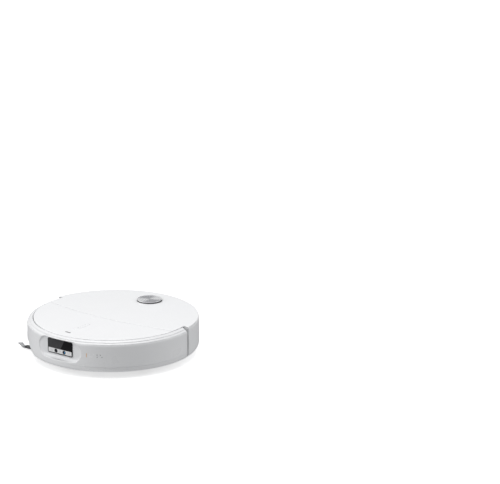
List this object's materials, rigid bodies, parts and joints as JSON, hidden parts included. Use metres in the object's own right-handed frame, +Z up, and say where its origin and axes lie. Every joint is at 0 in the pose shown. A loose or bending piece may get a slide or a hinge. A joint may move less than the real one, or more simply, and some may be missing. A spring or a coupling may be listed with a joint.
{
  "type": "robot vacuum",
  "caption": "Round robot vacuum with a front bumper and sensor window, rising lidar turret, lift-off lid, roller brush, side brush, sprung wheels and spinning mops.",
  "frame": {"origin": "on the floor, under the centre of the round body", "axes": "+Z up, -Y is the robot's front (its direction of travel), +X is the robot's own left"},
  "size_m": [0.3533, 0.35, 0.083],
  "materials": {
    "shell_white": "satin white ABS",
    "bezel_white": "satin white ABS, finer grain",
    "inner_white": "moulded inner wall",
    "base_grey": "fine spark texture",
    "dark_plastic": "fine spark texture",
    "window_black": "polished, infra-red clear",
    "lens_glass": "coated lens",
    "brushed_metal": "spun, circular grain",
    "screw_steel": "zinc plated",
    "motor_steel": "plated can",
    "spring_steel": "drawn wire",
    "brass": "moulded worm gear ring",
    "contact_metal": "nickel plated",
    "circuit_board": "solder mask",
    "battery_wrap": "shrink wrap",
    "tank_clear": "translucent polypropylene",
    "box_smoke": "tinted polycarbonate",
    "filter_paper": "pleated filter media",
    "tyre_rubber": "moulded tread",
    "caster_plastic": "satin",
    "belt_rubber": "toothed belt",
    "roller_core": "coloured core",
    "bristle": "nylon bristle and rubber fins",
    "side_bristle": "nylon bristle",
    "mop_cloth": "looped microfibre"
  },
  "bodies": {
    "chassis": {"base_pan": "base_grey", "roller_housing": "dark_plastic", "roller_guard": "dark_plastic", "chassis_wall": "inner_white", "rear_shell": "shell_white", "mid_deck": "inner_white", "crown_ring": "shell_white", "front_panel": "shell_white", "status_light": "window_black", "main_board": "circuit_board", "battery": "battery_wrap", "roller_motor": "motor_steel", "drive_belt": "belt_rubber", "side_brush_motor": "motor_steel", "fan_housing": "dark_plastic", "water_tank": "tank_clear", "lift_motor": "motor_steel", "cliff_windows": "window_black", "charging_contacts": "contact_metal", "base_screws": "screw_steel"},
    "bumper": {"bumper": "shell_white", "sensor_bezel": "bezel_white", "sensor_window": "window_black", "camera_strip": "bezel_white", "camera_lenses": "lens_glass", "side_sensor_cover": "bezel_white"},
    "lid": {"lid": "shell_white"},
    "dust_box": {"dust_box": "box_smoke", "dust_box_cover": "dark_plastic", "filter": "filter_paper"},
    "lidar_turret": {"lidar_turret": "inner_white", "lidar_cap": "brushed_metal"},
    "lidar_head": {"lidar_head": "dark_plastic"},
    "lift_pinion": {"lift_pinion": "brass"},
    "power_button": {"power_button": "shell_white"},
    "roller": {"roller_core": "roller_core", "roller_bristles": "bristle"},
    "motor_pulley": {"motor_pulley": "dark_plastic"},
    "side_brush": {"side_brush_hub": "dark_plastic", "side_brush_bristles": "side_bristle"},
    "caster_fork": {"caster_fork": "dark_plastic"},
    "caster_wheel": {"caster_wheel": "caster_plastic"},
    "mop_carriage": {"mop_carriage": "inner_white", "mop_motor": "motor_steel"},
    "left_mop": {"left_mop_plate": "dark_plastic", "left_mop_pad": "mop_cloth"},
    "right_mop": {"right_mop_plate": "dark_plastic", "right_mop_pad": "mop_cloth"},
    "fan_rotor": {"fan_impeller": "inner_white"},
    "left_suspension": {"left_wheel_arm": "dark_plastic", "left_wheel_motor": "motor_steel", "left_wheel_spring": "spring_steel"},
    "left_wheel": {"left_wheel_hub": "dark_plastic", "left_tyre": "tyre_rubber"},
    "right_suspension": {"right_wheel_arm": "dark_plastic", "right_wheel_motor": "motor_steel", "right_wheel_spring": "spring_steel"},
    "right_wheel": {"right_wheel_hub": "dark_plastic", "right_tyre": "tyre_rubber"}
  },
  "joints": [
    {"name": "bumper_push", "type": "slide", "parent": "chassis", "child": "bumper", "axis": [0, 1, 0], "range_m": [0, 0.0035], "stiffness_N_per_m": 300, "springref_m": -0.003},
    {"name": "lid_lift", "type": "slide", "parent": "chassis", "child": "lid", "axis": [0, 0, 1], "range_m": [0, 0.09]},
    {"name": "dust_box_lift", "type": "slide", "parent": "chassis", "child": "dust_box", "axis": [0, 0, 1], "range_m": [0, 0.081]},
    {"name": "lidar_lift", "type": "slide", "parent": "chassis", "child": "lidar_turret", "axis": [0, 0, 1], "range_m": [0, 0.014]},
    {"name": "lidar_spin", "type": "hinge", "parent": "lidar_turret", "child": "lidar_head", "pos_m": [0, 0.118, 0.065], "axis": [0, 0, 1], "continuous": true},
    {"name": "pinion_turn", "type": "hinge", "parent": "chassis", "child": "lift_pinion", "pos_m": [0.03635, 0.118, 0.054], "axis": [0, 1, 0], "range_deg": [-2, 131]},
    {"name": "button_press", "type": "slide", "parent": "chassis", "child": "power_button", "axis": [0, 0, -1], "range_m": [0, 0.0008], "stiffness_N_per_m": 400, "springref_m": -0.0015},
    {"name": "roller_spin", "type": "hinge", "parent": "chassis", "child": "roller", "pos_m": [0, -0.056, 0.021], "axis": [1, 0, 0], "continuous": true},
    {"name": "motor_pulley_spin", "type": "hinge", "parent": "chassis", "child": "motor_pulley", "pos_m": [-0.0818, -0.098, 0.034], "axis": [1, 0, 0], "continuous": true},
    {"name": "side_brush_spin", "type": "hinge", "parent": "chassis", "child": "side_brush", "pos_m": [-0.11, -0.098, 0.01], "axis": [0, 0, 1], "continuous": true},
    {"name": "caster_swivel", "type": "hinge", "parent": "chassis", "child": "caster_fork", "pos_m": [0, -0.126, 0.03], "axis": [0, 0, 1], "continuous": true},
    {"name": "caster_roll", "type": "hinge", "parent": "caster_fork", "child": "caster_wheel", "pos_m": [0, -0.121, 0.0125], "axis": [1, 0, 0], "continuous": true},
    {"name": "mop_lift", "type": "slide", "parent": "chassis", "child": "mop_carriage", "axis": [0, 0, 1], "range_m": [0, 0.008]},
    {"name": "left_mop_spin", "type": "hinge", "parent": "mop_carriage", "child": "left_mop", "pos_m": [0.0625, 0.079, 0.02], "axis": [0, 0, 1], "continuous": true},
    {"name": "right_mop_spin", "type": "hinge", "parent": "mop_carriage", "child": "right_mop", "pos_m": [-0.0625, 0.079, 0.02], "axis": [0, 0, 1], "continuous": true},
    {"name": "fan_spin", "type": "hinge", "parent": "chassis", "child": "fan_rotor", "pos_m": [0.118, 0.062, 0.045], "axis": [0, 0, 1], "continuous": true},
    {"name": "left_suspension_swing", "type": "hinge", "parent": "chassis", "child": "left_suspension", "pos_m": [0.0956, -0.054, 0.034], "axis": [-1, 0, 0], "range_deg": [0, 24], "stiffness_Nm_per_rad": 0.2, "springref_deg": 44.98},
    {"name": "left_wheel_spin", "type": "hinge", "parent": "left_suspension", "child": "left_wheel", "pos_m": [0.115, -0.007, 0.034], "axis": [1, 0, 0], "continuous": true},
    {"name": "right_suspension_swing", "type": "hinge", "parent": "chassis", "child": "right_suspension", "pos_m": [-0.0956, -0.054, 0.034], "axis": [-1, 0, 0], "range_deg": [0, 24], "stiffness_Nm_per_rad": 0.2, "springref_deg": 44.98},
    {"name": "right_wheel_spin", "type": "hinge", "parent": "right_suspension", "child": "right_wheel", "pos_m": [-0.115, -0.007, 0.034], "axis": [1, 0, 0], "continuous": true}
  ],
  "couplings": [
    {"joint": "dust_box_lift", "follows": "lid_lift", "ratio": 0.9},
    {"joint": "pinion_turn", "follows": "lidar_lift", "rad_per_m": 160},
    {"joint": "motor_pulley_spin", "follows": "roller_spin", "ratio": 1.5},
    {"joint": "right_mop_spin", "follows": "left_mop_spin", "ratio": -1}
  ]
}
